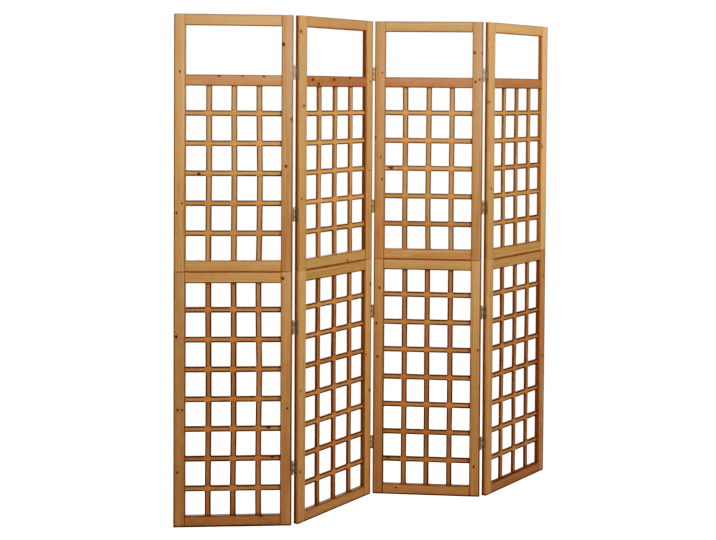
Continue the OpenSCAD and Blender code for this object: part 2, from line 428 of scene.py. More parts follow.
# %% [markdown]
# The stain was brushed on and wiped off again. The dark rims of the wide faces are part stain and part painted
# shade of the rounded edges. Painted shade darkens the narrow sides from some depth on, as it falls in
# recesses and on sides turned from the light, and the eased edges between them are worn to a warm brown. Where
# two slats cross, the lap is clean and orange. A painted contact shadow darkens the lowest millimetres.
# %% Stain, wear and painted shade
# The dark rims are part stain and part painted shade. The narrow sides and the foot are darkened by painted
# shade.
RIM_STAIN_AND_SHADE = (0.048, 0.021, 0.008, 1)
NARROW_SHADE = (0.110, 0.036, 0.014, 1)
WORN_EDGE = (0.260, 0.095, 0.025, 1)
LAP_ORANGE = (0.580, 0.205, 0.068, 1)
FOOT_SHADE = (0.055, 0.030, 0.016, 1)
# How far from the middle of a lap its edge is, and between which heights the painted contact shadow fades.
LAP_EDGE = (SLAT_W * 0.46, SLAT_W * 0.54)
FOOT_SHADE_REACH = (3.5 * MM, 9.0 * MM)
# The share of stain and painted shade on the rims of an ordinary frame board.
FRAME_STAIN_AND_SHADE = 0.75


def on_lap(wood, first, step):
    """1 on the wide faces where another slat crosses, and 0 elsewhere."""
    off_lap = (((wood.z - first + step / 2) / step).math("FRACT") - 0.5).math("ABSOLUTE") * step
    return (1.0 - off_lap.smooth(*LAP_EDGE)) * wood.wide


def stained(wood, colour, width, rims, runs_in, creep, laps):
    """A colour with the stain, the wear, and the painted shade of rims, narrow sides and foot over it."""
    # The rim is part stain and part painted shade of the rounded edges, and it is wider on the outer or lower
    # edge as painted shade.
    inside = (wood.x / rims[0]).math("MINIMUM", (width - wood.x) / rims[1]) + wood.thread * 0.22
    rim = (1.0 - inside.smooth(0.5, 1.0)) * wood.wide
    if laps:
        lap = on_lap(wood, *laps)
        rim = rim * (1.0 - lap)
        colour = colour.mixed(LAP_ORANGE, lap * 0.75)
    colour = colour.mixed(RIM_STAIN_AND_SHADE, rim * wood.stain)
    # Painted shade on the narrow sides, from a depth behind the front that is less on boards with more stain
    # and shade.
    depth = wood.y + (wood.stain - FRAME_STAIN_AND_SHADE).math("MAXIMUM", 0.0) * (creep / (1.0 - FRAME_STAIN_AND_SHADE))
    painted_side_shade = wood.narrow * depth.smooth(*runs_in) * (0.68 + wood.streak * 0.25)
    colour = colour.mixed(NARROW_SHADE, painted_side_shade)
    colour = colour.mixed(WORN_EDGE, wood.eased * (wood.stain * 0.95 + wood.blotch * 0.2))
    # A painted contact shadow along the lowest millimetres.
    return colour.mixed(FOOT_SHADE, (1.0 - wood.height.smooth(*FOOT_SHADE_REACH)) * 0.85)


print("an ordinary rim keeps", FRAME_STAIN_AND_SHADE, "of its stain")

# %% [markdown]
# The material puts this together. At the end the board's own tone and most of the noises make it lighter or
# darker. Late wood is a little glossier than early wood, and fibres, late wood and knots give the relief.
# %% Stained pine
def pine(name, width, rims, fineness, runs_in, creep=0.0, laps=None):
    """Stained pine for boards of one width.

    rims is how wide the dark rim is on the outer or lower edge and on the other one; the rim is part stain and
    part painted shade, and the extra width on the outer or lower edge is painted shade. runs_in is how deep
    from the front the sides stay light before the painted shade, and creep how much less that is on a board
    with the most stain and shade. laps gives the first crossing's place along the board and the step from one
    to the next."""
    material, start, shader = new_material(
        name, Coat_Roughness=0.38, Coat_IOR=1.45, Coat_Weight=0.05, Specular_IOR_Level=0.35)
    wood = read_board(start, fineness)
    colour = stained(wood, bare_wood(wood), width, rims, runs_in, creep, laps)
    shade = (1.0 + wood.tone * 0.13 + wood.fibre * 0.10 + wood.streak * 0.12 + wood.thread * 0.15
             + wood.blotch * 0.07 + wood.mottle * 0.15)
    colour = colour.node("HueSaturation", (), {"Color": colour, "Value": shade})
    rough = 0.50 + wood.fibre * 0.05 - wood.late * 0.06 + wood.blotch * 0.03
    relief = wood.fibre * 0.6 + wood.late * 0.8 - (1.0 - wood.near.smooth(0.8, 1.2)) * 0.6
    feed(shader, Base_Color=colour, Roughness=rough, Normal=relief.bump(0.35, 0.15 * MM))
    return material


print("stained pine can be mixed")

# %% [markdown]
# Four kinds of board are cut from it, with rims as wide as the photograph shows them. The lower rails have a
# pine of their own, whose narrow sides are darkened by painted shade from the front edge on.
# %% Four kinds of board
# From which depth the painted shade darkens a side, and from which it is all dark.
FRAME_SHADE_RUN, SLAT_SHADE_RUN = (7 * MM, 10 * MM), (0 * MM, 3 * MM)
FRAME_SHADE_CREEP = 7 * MM
FRAME_RIMS = (5.4 * MM, 4.0 * MM)
UPRIGHT_RIMS = (6.0 * MM, 6.0 * MM)
CROSSBAR_RIMS = (7.4 * MM, 7.4 * MM)
SLAT_FINENESS = 1.3
LAPS = (CELL_W + SLAT_W / 2 + SLAT_SEAT, CELL_W + SLAT_W)
FRAME_PINE = pine("frame pine", STILE_W, FRAME_RIMS, 1.0, FRAME_SHADE_RUN, FRAME_SHADE_CREEP)
FOOT_PINE = pine("foot pine", RAIL_H, FRAME_RIMS, 1.0, SLAT_SHADE_RUN)
UPRIGHT_PINE = pine("upright pine", SLAT_W, UPRIGHT_RIMS, SLAT_FINENESS, SLAT_SHADE_RUN)
CROSSBAR_PINE = pine("crossbar pine", SLAT_W, CROSSBAR_RIMS, SLAT_FINENESS, SLAT_SHADE_RUN, laps=LAPS)
print("made", ", ".join(made.name for made in (FRAME_PINE, FOOT_PINE, UPRIGHT_PINE, CROSSBAR_PINE)))

# %% [markdown]
# The hinges are cheap pressed steel, zinc plated and gone dull. The plating shows as cloudy patches of
# different gloss, the rolling of the sheet as fine lines up the leaf. Brown dirt lies over it in clouds and
# specks, more of it on a piece that is more worn.
# %% Dull zinc plate
ZINC = (0.46, 0.374, 0.272, 1)
ZINC_DIRT = (0.13, 0.080, 0.036, 1)
CLOUDS = (170.0, 170.0, 120.0)
SPECKS = (900.0, 900.0, 900.0)
ROLLING = (4000.0, 4000.0, 60.0)


def zinc(name):
    """Zinc-plated steel on Object coordinates. Its attribute worn is how much of it has gone brown."""
    material, start, shader = new_material(name, Metallic=0.75)
    place = coordinates(start)
    cloud = place.noise(CLOUDS, detail=3.0)
    speck = place.noise(SPECKS)
    rolled = place.noise(ROLLING, detail=1.0)
    dirt = (cloud * 0.5 + speck * 0.25 + attribute(start, "worn", out=2)).smooth(0.0, 1.0)
    colour = dirt.between(ZINC, ZINC_DIRT)
    rough = 0.46 + cloud * 0.10 + speck * 0.06
    relief = rolled + speck * 0.8
    feed(shader, Base_Color=colour, Roughness=rough, Normal=relief.bump(0.25, 0.05 * MM))
    return material


LEAF_ZINC = zinc("leaf zinc")
SCREW_ZINC = zinc("screw zinc")
print("made", LEAF_ZINC.name, "and", SCREW_ZINC.name)

# %% [markdown]
# The dowels between the two frames of a panel are hidden in the wood, and their CAD solids are right as they
# are. They only get a finish: plain beech, with short dark flecks along the grain.
# %% Beech for the dowels
BEECH = (0.62, 0.42, 0.25, 1)
BEECH_FLECK = (0.45, 0.26, 0.13, 1)
FLECKS = (1500.0, 1500.0, 260.0)
BEECH_FIBRES = (600.0, 600.0, 12.0)


def beech(name):
    """Beech on Object coordinates, its grain upright."""
    material, start, shader = new_material(name)
    place = coordinates(start)
    fleck = place.noise(FLECKS, detail=1.0)
    fibre = place.noise(BEECH_FIBRES)
    colour = (fleck.smooth(0.25, 0.5) * 0.7).between(BEECH, BEECH_FLECK)
    rough = 0.62 + fibre * 0.06
    feed(shader, Base_Color=colour, Roughness=rough, Normal=fibre.bump(0.3, 0.1 * MM))
    return material


BEECH_DOWEL = beech("beech dowel")
for k in PANELS:
    dowels = frame["nodes"][f"panel_{k}_joining_dowels"]
    dowels.data.materials.clear()
    dowels.data.materials.append(BEECH_DOWEL)
print("the dowels of", len(PANELS), "panels are beech")

# %% [markdown]
# Boards start as a cube between two corners. An operator works on all that is selected, so everything else is
# deselected first.
# %% Blocks
def only(obj):
    """Makes obj the only selected and the active object."""
    bpy.ops.object.select_all(action="DESELECT")
    obj.select_set(True)
    bpy.context.view_layer.objects.active = obj
    return obj


def block(name, low, high):
    """A block between two corners, with its place in its mesh."""
    low, high = Vector(low), Vector(high)
    bpy.ops.object.select_all(action="DESELECT")
    bpy.ops.mesh.primitive_cube_add(size=1, location=(low + high) / 2, scale=high - low)
    obj = bpy.context.object
    obj.name = name
    bpy.ops.object.transform_apply(location=True, rotation=True, scale=True)
    return obj


print("blocks can be made")

# %% [markdown]
# The next helpers do what hands do in edit mode: pick some edges or faces by where they are or where they
# point, then round or push them.
# %% Work in edit mode
EASE_STEPS = 3
# How nearly a face points along an axis to be picked by it, and how nearly it does to be square to it.
FACING, SQUARE = 0.9, 0.999


def runs_along(axis):
    """A test for edges that run along one axis, 0 for X, 1 for Y or 2 for Z."""
    def test(edge):
        run = edge.verts[1].co - edge.verts[0].co
        return abs(run[axis]) > SQUARE * run.length
    return test


class editing:
    """Edit mode on one object."""

    def __init__(self, obj):
        self.obj = only(obj)

    def __enter__(self):
        bpy.ops.object.mode_set(mode="EDIT")
        return self

    def __exit__(self, *_):
        bpy.ops.object.mode_set(mode="OBJECT")

    def pick(self, kind, test):
        """Selects only the faces or edges that pass the test."""
        bpy.ops.mesh.select_mode(type=kind)
        bpy.ops.mesh.select_all(action="DESELECT")
        mesh = bmesh.from_edit_mesh(self.obj.data)
        found = [item for item in (mesh.faces if kind == "FACE" else mesh.edges) if test(item)]
        for item in found:
            item.select_set(True)
        mesh.select_flush_mode()
        bmesh.update_edit_mesh(self.obj.data)

    def middle(self):
        """The middle of the selected face."""
        faces = bmesh.from_edit_mesh(self.obj.data).faces
        return next(f for f in faces if f.select).calc_center_median()

    def ease(self, axis, radius):
        """Rounds the edges that run along one axis."""
        self.pick("EDGE", runs_along(axis))
        bpy.ops.mesh.bevel(offset=radius, segments=EASE_STEPS, affect="EDGES")


def outward(piece):
    """Makes all faces point outwards."""
    with editing(piece):
        bpy.ops.mesh.select_all(action="SELECT")
        bpy.ops.mesh.normals_make_consistent(inside=False)
    return piece


print("edges and faces can be picked")

# %% [markdown]
# Cuts such as mortises are Boolean differences, whose cutters reach a margin past the wood. What repeats is
# modelled once and copied, each copy with a mesh of its own, and its place goes into that mesh.
# %% Join, cut, copy and place
MARGIN = 1 * MM


def joined(name, pieces):
    """One object made of several, each still a solid of its own."""
    only(pieces[0])
    for piece in pieces:
        piece.select_set(True)
    bpy.ops.object.join()
    pieces[0].name = name
    return pieces[0]


def modified(obj, kind, **settings):
    """Adds a modifier to obj, sets it and applies it."""
    only(obj)
    bpy.ops.object.modifier_add(type=kind)
    step = obj.modifiers[-1]
    for name, value in settings.items():
        setattr(step, name, value)
    bpy.ops.object.modifier_apply(modifier=step.name)
    return obj


def cut(obj, cutters):
    """Takes the cutters out of obj, and removes them. They may cross each other."""
    tool = joined("cutter", cutters)
    modified(obj, "BOOLEAN", operation="DIFFERENCE", solver="EXACT", use_self=True, object=tool)
    bpy.data.objects.remove(tool)
    return obj


def copied(obj, name):
    """A copy with its own mesh."""
    made = obj.copy()
    made.data = obj.data.copy()
    made.name = name
    bpy.context.scene.collection.objects.link(made)
    return made


def placed(obj, matrix):
    """Puts the place in the mesh, and leaves the object at the origin."""
    obj.matrix_world = matrix
    only(obj)
    bpy.ops.object.transform_apply(location=True, rotation=True, scale=True)
    return obj


print("pieces can be joined, cut, copied and placed")

# %% [markdown]
# A countersunk wood screw starts as a filled circle, the head's flat face. It is pushed back and narrowed to
# the cone, then to the shank and the point. A driver's cross is sunk in the head with two tapered bars. In a
# hinge this small the crosses are the only sharp detail, and they catch the eye when they are missing.
# %% Wood screws
SCREW_SIDES = 24
SCREW_HEAD_R = 2.9 * MM
SCREW_HEAD_H = 1.4 * MM
SCREW_R = 1.5 * MM
SCREW_L = 14 * MM
SCREW_TIP = 2.5 * MM
SCREW_POINT = 0.05
SCREW_Z = (10 * MM, 40 * MM)
SCREW_ROOM = 1.04
HOLE_PROUD = 0.03 * MM
CROSS_L = 3.6 * MM
CROSS_W = 0.9 * MM
CROSS_DEPTH = 1.3 * MM
CROSS_TAPER = 0.45


def pushed(edit, step, scale):
    """Pushes the selected face back along Z and scales it."""
    bpy.ops.mesh.extrude_region_move(TRANSFORM_OT_translate={"value": (0, 0, -step)})
    bpy.ops.transform.resize(value=(scale, scale, 1), center_override=edit.middle())


def cross_bar(turned):
    """One bar of the driver's cross, tapered towards its bottom."""
    long, short = CROSS_L / 2, CROSS_W / 2
    half = (short, long) if turned else (long, short)
    bar = block("cross bar", (-half[0], -half[1], -CROSS_DEPTH), (half[0], half[1], MARGIN))
    with editing(bar) as edit:
        edit.pick("FACE", lambda f: f.normal.z < -FACING)
        taper = (1, CROSS_TAPER, 1) if turned else (CROSS_TAPER, 1, 1)
        bpy.ops.transform.resize(value=taper, center_override=(0, 0, -CROSS_DEPTH))
    return bar


def screw(with_cross):
    """A screw that points down, its head's face at the origin."""
    bpy.ops.object.select_all(action="DESELECT")
    bpy.ops.mesh.primitive_circle_add(vertices=SCREW_SIDES, radius=SCREW_HEAD_R, fill_type="NGON")
    piece = bpy.context.object
    with editing(piece) as edit:
        bpy.ops.mesh.select_all(action="SELECT")
        pushed(edit, SCREW_HEAD_H, SCREW_R / SCREW_HEAD_R)
        pushed(edit, SCREW_L - SCREW_TIP - SCREW_HEAD_H, 1)
        pushed(edit, SCREW_TIP, SCREW_POINT)
    outward(piece)
    return cut(piece, [cross_bar(False), cross_bar(True)]) if with_cross else piece


def screw_hole(head, turn):
    """A cutter a little larger than a screw. Its head's face lies just above one point."""
    place = Matrix.Translation(head) @ Matrix.Rotation(math.radians(turn), 4, "Y")
    room = Matrix.Translation((0, 0, HOLE_PROUD)) @ Matrix.Scale(SCREW_ROOM, 4)
    return placed(copied(plain_screw, "hole"), place @ room)


screw_blank = screw(with_cross=True)
plain_screw = screw(with_cross=False)
print("a screw has", len(screw_blank.data.polygons), "faces")

# %% [markdown]
# A board knows three things about itself, kept as attributes of its mesh: its own coordinates, with the
# grain along the third one; its number within the piece; and what each face is, since the stain lies
# differently on a wide face, on a narrow side and on the round between them. They are written while the board
# is still square to the axes.
# %% What a board knows
# In which order a board's own axes are read when its grain runs along axis 0 or 2.
GRAIN_ORDER = {0: (2, 1, 0), 2: (0, 1, 2)}
WIDE_FACE, NARROW_SIDE, ROUND = 0.0, 0.5, 1.0


def side_of(face):
    """Which kind of face of a board this is."""
    if max(abs(n) for n in face.normal) < SQUARE:
        return ROUND
    return WIDE_FACE if abs(face.normal.y) > SQUARE else NARROW_SIDE


def written(mesh, name, kind, domain, values):
    """Writes an attribute on the points or faces of a mesh."""
    key = "vector" if kind == "FLOAT_VECTOR" else "value"
    mesh.attributes.new(name, kind, domain).data.foreach_set(key, values)


def marked(obj, along, number):
    """Writes the grain, number and side attributes. The grain runs along axis 0 or 2."""
    mesh = obj.data
    points = np.zeros(len(mesh.vertices) * 3, np.float32)
    mesh.vertices.foreach_get("co", points)
    points = points.reshape(-1, 3)
    local = (points - points.min(0))[:, GRAIN_ORDER[along]]
    written(mesh, "grain", "FLOAT_VECTOR", "POINT", local.ravel())
    written(mesh, "number", "INT", "FACE", [number] * len(mesh.polygons))
    written(mesh, "side", "FLOAT", "FACE", [side_of(face) for face in mesh.polygons])
    return obj


print("boards can be marked")

# %% [markdown]
# A stile is the upright side of a frame. It is ripped to size, and all its edges are eased with a small
# round, which is why the seam between the upper and the lower frame shows as a line. Its inner side is
# mortised for the rails' tenons and for the ends of the crossbars, its end is drilled for the dowel at the
# seam, and its outer edge has the holes of the hinge screws, unless it is at an end of the screen.
# %% Stiles
DOWEL_D = 8 * MM
DOWEL_HOLE = 31 * MM
DOWEL_SIDES = 32


def in_lattice(name, low_x, low_z, high_x, high_z):
    """A block as deep as the slats are thick, where they are: a slat, or a cutter for its seat."""
    return block(name, (low_x, SLAT_BACK, low_z), (high_x, SLAT_BACK + SLAT_T, high_z))


def stile(name, rail_z, bar_z, seam_z, hinged):
    """A left stile, its foot at its frame's foot. The dowel's hole is at its top or its foot."""
    board = block(name, (0, 0, 0), (STILE_W, FRAME_T, FRAME_H))
    with editing(board):
        bpy.ops.mesh.select_all(action="SELECT")
        bpy.ops.mesh.bevel(offset=FRAME_EASE, segments=EASE_STEPS, affect="EDGES")
    mortises = []
    for z in rail_z:
        low = z + (RAIL_H - TENON_H) / 2
        side = (FRAME_T - TENON_T) / 2
        mortises.append(block("mortise", (STILE_W - TENON_L, side, low),
                              (STILE_W + MARGIN, side + TENON_T, low + TENON_H)))
    for z in bar_z:
        mortises.append(in_lattice("mortise", STILE_W - SLAT_SEAT, z, STILE_W + MARGIN, z + SLAT_W))
    bpy.ops.object.select_all(action="DESELECT")
    bpy.ops.mesh.primitive_cylinder_add(vertices=DOWEL_SIDES, radius=DOWEL_D / 2, depth=2 * DOWEL_HOLE,
                                        location=(STILE_W / 2, FRAME_T / 2, seam_z))
    bores = [bpy.context.object]
    if hinged:
        bores += [screw_hole((-LEAF_T, FRAME_T / 2, middle - HINGE_H / 2 + z), -90)
                  for middle in HINGE_Z for z in SCREW_Z]
    cut(board, mortises + bores)
    return marked(board, along=2, number=0)


lower_stile = stile("lower stile", LOWER_RAIL_Z, LOWER_BAR_Z, FRAME_H, hinged=True)
upper_stile = stile("upper stile", UPPER_RAIL_Z, UPPER_BAR_Z, 0, hinged=True)
lower_end_stile = stile("lower end stile", LOWER_RAIL_Z, LOWER_BAR_Z, FRAME_H, hinged=False)
upper_end_stile = stile("upper end stile", UPPER_RAIL_Z, UPPER_BAR_Z, 0, hinged=False)
print("a stile has", len(lower_stile.data.polygons), "faces, at an end", len(lower_end_stile.data.polygons))

# %% [markdown]
# A rail runs between the stiles. Its long edges are eased, and its ends are tenons. A tenon is pulled out of
# the end face: a copy of the face is shrunk to the tenon's section, then pushed out to its length. Where the
# lattice meets a rail, the rail is mortised for the uprights.
# %% Rails
def tenon(edit, side):
    """Pulls a tenon out of the end face on one side, -1 for left or 1 for right."""
    end = STILE_W if side < 0 else PANEL_W - STILE_W
    edit.pick("FACE", lambda f: f.normal.x * side > FACING and abs(f.calc_center_median().x - end) < MM)
    middle = edit.middle()
    bpy.ops.mesh.extrude_region_move()
    bpy.ops.transform.resize(value=(1, TENON_T / FRAME_T, TENON_H / RAIL_H), center_override=middle)
    bpy.ops.mesh.extrude_region_move(TRANSFORM_OT_translate={"value": (side * TENON_L, 0, 0)})


def rail(z, number, lattice_above, lattice_below):
    """A rail at height z in its frame."""
    board = block("rail", (STILE_W, 0, z), (PANEL_W - STILE_W, FRAME_T, z + RAIL_H))
    with editing(board) as edit:
        edit.ease(0, FRAME_EASE)
        tenon(edit, -1)
        tenon(edit, 1)
    mortises = []
    for x in UPRIGHT_X:
        if lattice_above:
            top = z + RAIL_H
            mortises.append(in_lattice("mortise", x, top - SLAT_SEAT, x + SLAT_W, top + MARGIN))
        if lattice_below:
            mortises.append(in_lattice("mortise", x, z - MARGIN, x + SLAT_W, z + SLAT_SEAT))
    if mortises:
        cut(board, mortises)
    return marked(board, along=0, number=number)


lower_rails = joined("lower rails", [
    rail(LOWER_RAIL_Z[0], 0, True, False),
    rail(LOWER_RAIL_Z[1], 1, False, True),
])
upper_rails = joined("upper rails", [
    rail(UPPER_RAIL_Z[0], 0, True, False),
    rail(UPPER_RAIL_Z[1], 1, False, True),
    rail(UPPER_RAIL_Z[2], 2, False, False),
])
print("rails:", len(lower_rails.data.polygons), "and", len(upper_rails.data.polygons), "faces")

# %% [markdown]
# The lattice is thin slats, half-lapped where they cross: the uprights lose their front half there and the
# crossbars their back half, so both lie in one plane and each passes the other. Every slat is made whole,
# rounded along its length, and then notched at all its crossings in one cut. An upright is also bisected at
# every notch, so that it can be bent a little later on.
# %% Lattice slats
def upright(x, number, lattice_h, bar_z):
    """An upright slat, notched in front where the crossbars pass."""
    board = in_lattice("upright", x, RAIL_H - SLAT_SEAT, x + SLAT_W, RAIL_H + lattice_h + SLAT_SEAT)
    with editing(board) as edit:
        edit.ease(2, SLAT_EASE)
    cut(board, [block("notch", (x - MARGIN, SLAT_BACK - MARGIN, z),
                      (x + SLAT_W + MARGIN, SLAT_BACK + SLAT_T / 2, z + SLAT_W)) for z in bar_z])
    with editing(board):
        for z in sorted(edge for low in bar_z for edge in (low, low + SLAT_W)):
            bpy.ops.mesh.select_all(action="SELECT")
            bpy.ops.mesh.bisect(plane_co=(0, 0, z), plane_no=(0, 0, 1))
    return marked(board, along=2, number=number)


def crossbar(z, number):
    """A crossbar, notched behind where the uprights pass."""
    board = in_lattice("crossbar", STILE_W - SLAT_SEAT, z, PANEL_W - STILE_W + SLAT_SEAT, z + SLAT_W)
    with editing(board) as edit:
        edit.ease(0, SLAT_EASE)
    cut(board, [block("notch", (x, SLAT_BACK + SLAT_T / 2, z - MARGIN),
                      (x + SLAT_W, SLAT_BACK + SLAT_T + MARGIN, z + SLAT_W + MARGIN)) for x in UPRIGHT_X])
    return marked(board, along=0, number=number)


def uprights(name, lattice_h, bar_z):
    """The uprights of one lattice, as one piece."""
    return joined(name, [upright(x, i, lattice_h, bar_z) for i, x in enumerate(UPRIGHT_X)])


def crossbars(name, bar_z):
    """The crossbars of one lattice, as one piece."""
    return joined(name, [crossbar(z, i) for i, z in enumerate(bar_z)])


lower_uprights = uprights("lower uprights", LOWER_LATTICE_H, LOWER_BAR_Z)
upper_uprights = uprights("upper uprights", UPPER_LATTICE_H, UPPER_BAR_Z)
lower_crossbars = crossbars("lower crossbars", LOWER_BAR_Z)
upper_crossbars = crossbars("upper crossbars", UPPER_BAR_Z)
print("slats:", len(lower_uprights.data.polygons), "and", len(lower_crossbars.data.polygons), "faces")

# %% [markdown]
# No two boards are alike. Those that stand out, such as the red heartwood of a middle rail, are listed one by
# one. How much stain and painted shade a board's rims and sides take depends on its part, and in two of the
# panels on the side of the stile: there the left stiles are painted lighter and the right ones darker, for how
# the light falls on them.
# %% Boards that stand out
# How light and how red a board is, where it stands out. They were fitted under these lights, so with the
# timber's own tone they carry some painted light and shade. 1 is about an eighth lighter.
SEEN_TONES = {
    (1, "upper_left_stile", 0): (0.4, 0.15), (1, "lower_left_stile", 0): (-0.7, 0.05),
    (1, "upper_right_stile", 0): (-0.5, 0.50), (1, "lower_right_stile", 0): (0.2, 0.25),
    (2, "upper_left_stile", 0): (-0.1, 0.00), (2, "lower_left_stile", 0): (1.0, 0.00),
    (2, "upper_right_stile", 0): (-0.3, 0.10), (2, "lower_right_stile", 0): (0.9, 0.10),
    (3, "upper_left_stile", 0): (0.2, 0.65), (3, "lower_left_stile", 0): (-0.8, 0.00),
    (3, "upper_right_stile", 0): (-0.4, 0.45), (3, "lower_right_stile", 0): (0.5, 0.00),
    (4, "upper_left_stile", 0): (0.8, 0.00), (4, "lower_left_stile", 0): (1.5, 0.15),
    # Painted light: the upper right stile of panel 4 is made far lighter for the way it turns to the light.
    (4, "upper_right_stile", 0): (4.6, 0.05), (4, "lower_right_stile", 0): (0.8, 0.60),
    (1, "upper_rails", 0): (0.5, 0.20), (1, "upper_rails", 1): (0.4, 0.90),
    (1, "upper_rails", 2): (0.4, 0.15), (2, "upper_rails", 1): (-1.9, 1.00),
    (2, "upper_rails", 2): (-0.4, 0.60), (3, "upper_rails", 0): (0.9, 0.50),
    (3, "upper_rails", 1): (-0.4, 1.15), (3, "upper_rails", 2): (-0.4, 0.00),
    (4, "upper_rails", 1): (-0.6, 0.95), (4, "upper_rails", 2): (1.7, 0.00),
    (1, "lower_rails", 0): (-1.3, 0.00), (1, "lower_rails", 1): (0.6, 0.20),
    (2, "lower_rails", 0): (-0.4, 0.10), (3, "lower_rails", 0): (0.2, 0.00),
    (3, "lower_rails", 1): (0.7, 0.10), (4, "lower_rails", 0): (-0.8, 0.50),
}
# The lower lattice is darker and redder than the upper one. The lattice and the lower frames have darker rims
# than the rest, the lower ones most, and these rims are part stain and part painted shade.
LATTICE_TONES = {"lower_uprights": (-1.2, 0.55), "upper_uprights": (-0.4, 0.15),
                 "lower_crossbars": (0.0, 0.15)}
STAIN_AND_SHADE = {"lower_uprights": 0.98, "lower_crossbars": 0.92, "upper_uprights": 0.88, "upper_crossbars": 0.82,
         "lower_rails": 0.92, "lower_left_stile": 0.90, "lower_right_stile": 0.90}
# In two panels that turn the same way, painted light keeps the edges of the left stiles light, and painted
# shade gives the right ones the darkest rims and sides.
PANELS_WITH_PAINTED_SIDES = (2, 4)
SIDE_LIGHT_AND_SHADE = {"left_stile": 0.20, "right_stile": 0.96}
print(len(SEEN_TONES), "boards stand out by their tone")

# %% [markdown]
# Knots catch the eye more than any other part of the grain, so those that show from in front are placed one
# by one. No board has more than four.
# %% Knots that show
# From a board's outer or lower edge, along it, and radius, all in millimetres.
SEEN_KNOTS = {
    (1, "upper_left_stile", 0): ((21, 699, 3.2), (29, 240, 2.9), (10, 207, 2.9)),
    (1, "upper_right_stile", 0): ((33, 797, 5.2), (3, 536, 4.6), (23, 371, 4.1)),
    (1, "upper_rails", 1): ((36, 130, 3.8), (36, 211, 2.9), (35, 285, 3.5)),
    (1, "upper_crossbars", 2): ((9, 51, 4.1),),
    (1, "lower_left_stile", 0): ((10, 673, 3.8), (15, 415, 2.9), (31, 415, 2.6), (14, 195, 2.9)),
    (1, "lower_right_stile", 0): ((32, 877, 4.1), (15, 418, 2.6)),
    (1, "lower_crossbars", 2): ((14, 295, 4.3),),
    (1, "lower_rails", 0): ((38, 280, 3.8),),
    (2, "upper_left_stile", 0): ((6, 844, 4.3), (14, 255, 3.2), (23, 583, 3.5)),
    (2, "upper_rails", 1): ((26, 45, 5.2), (11, 76, 4.9), (27, 161, 4.9), (35, 250, 4.3)),
    (2, "upper_right_stile", 0): ((18, 673, 3.2), (19, 337, 2.6)),
    (2, "lower_left_stile", 0): ((11, 473, 2.9), (12, 185, 3.2)),
    (2, "lower_right_stile", 0): ((8, 805, 3.8), (33, 541, 2.9), (10, 400, 3.5)),
    (3, "upper_left_stile", 0): ((29, 706, 2.6), (24, 387, 2.9), (30, 303, 3.2), (5, 461, 2.9)),
    (3, "upper_right_stile", 0): ((31, 784, 4.1), (3, 784, 3.8), (27, 674, 3.8), (11, 683, 3.8)),
    (3, "upper_crossbars", 2): ((11, 31, 4.6), (12, 22, 3.2)),
    (3, "lower_left_stile", 0): ((23, 789, 3.5), (17, 527, 3.2), (12, 654, 3.2)),
    (3, "lower_right_stile", 0): ((22, 115, 3.5), (9, 560, 2.9)),
    (4, "upper_left_stile", 0): ((18, 270, 3.5), (4, 598, 3.5), (17, 806, 2.6)),
    (4, "upper_right_stile", 0): ((33, 418, 4.3),),
    (4, "lower_right_stile", 0): ((13, 796, 3.2), (17, 471, 3.8)),
}
print(len(SEEN_KNOTS), "boards have knots that show")

# %% [markdown]
# All else about a board is left to chance: its tone and redness, the pith, and now and then a knot. The
# random generator has a fixed seed for each board, which gives the same screen at every run.
# %% How the boards differ
# How far boards differ by chance in lightness and in redness.
TONE_SPREAD = 0.45
RED_MEAN, RED_SPREAD = 0.02, 0.16
# Where the pith is: across the board in widths, behind its face in millimetres, and how much it slants.
PITH_ACROSS, PITH_DEPTH, PITH_SLANT = (-0.6, 1.6), (12, 70), 0.012
# Where a chance knot may be, in shares of the width and length, and its radius in millimetres.
KNOT_ACROSS, KNOT_ALONG, KNOT_RADIUS = (0.15, 0.85), (0.05, 0.95), (2.2, 3.6)
# Far off every board.
KNOT_NONE = (9.0, 9.0, 1 * MM)


def board_looks(panel, part, number, width, length, chance):
    """The attributes of one board, the same at each run for the same panel, part and number."""
    pick = random.Random(f"{panel} {part} {number}")
    tone, redness = pick.gauss(0.0, TONE_SPREAD), max(0.0, pick.gauss(RED_MEAN, RED_SPREAD))
    if part in LATTICE_TONES:
        tone, redness = (own + shift for own, shift in zip((tone, redness), LATTICE_TONES[part]))
    tone, redness = SEEN_TONES.get((panel, part, number), (tone, redness))
    # The share of stain and painted shade on rims and sides. In two panels the stiles take painted light on
    # the left and painted shade on the right.
    stain = STAIN_AND_SHADE.get(part, FRAME_STAIN_AND_SHADE)
    if panel in PANELS_WITH_PAINTED_SIDES:
        stain = SIDE_LIGHT_AND_SHADE.get(part.split("_", 1)[1], stain)
    pith = (pick.uniform(*PITH_ACROSS) * width, pick.uniform(*PITH_DEPTH) * MM,
            pick.uniform(-PITH_SLANT, PITH_SLANT))
    knots = [tuple(size * MM for size in knot) for knot in SEEN_KNOTS.get((panel, part, number), ())]
    if not knots and pick.random() < chance:
        place = pick.uniform(*KNOT_ACROSS) * width, pick.uniform(*KNOT_ALONG) * length
        knots.append((*place, pick.uniform(*KNOT_RADIUS) * MM))
    knots += [KNOT_NONE] * (KNOTS_A_BOARD - len(knots))
    numbered = {f"knot_{i + 1}": knot for i, knot in enumerate(knots)}
    return {"tone": (tone, redness, stain), "pith": pith} | numbered


def dressed(piece, panel, part, width, length, chance):
    """Writes each board's own attributes on all its faces."""
    mesh = piece.data
    count = len(mesh.polygons)
    number = np.zeros(count, np.int32)
    mesh.attributes["number"].data.foreach_get("value", number)
    looks = [board_looks(panel, part, n, width, length, chance) for n in range(number.max() + 1)]
    for name in looks[0]:
        values = np.array([look[name] for look in looks], np.float32)[number]
        written(mesh, name, "FLOAT_VECTOR", "FACE", values.ravel())
    return piece


print("a board without a seen knot may get one by chance")

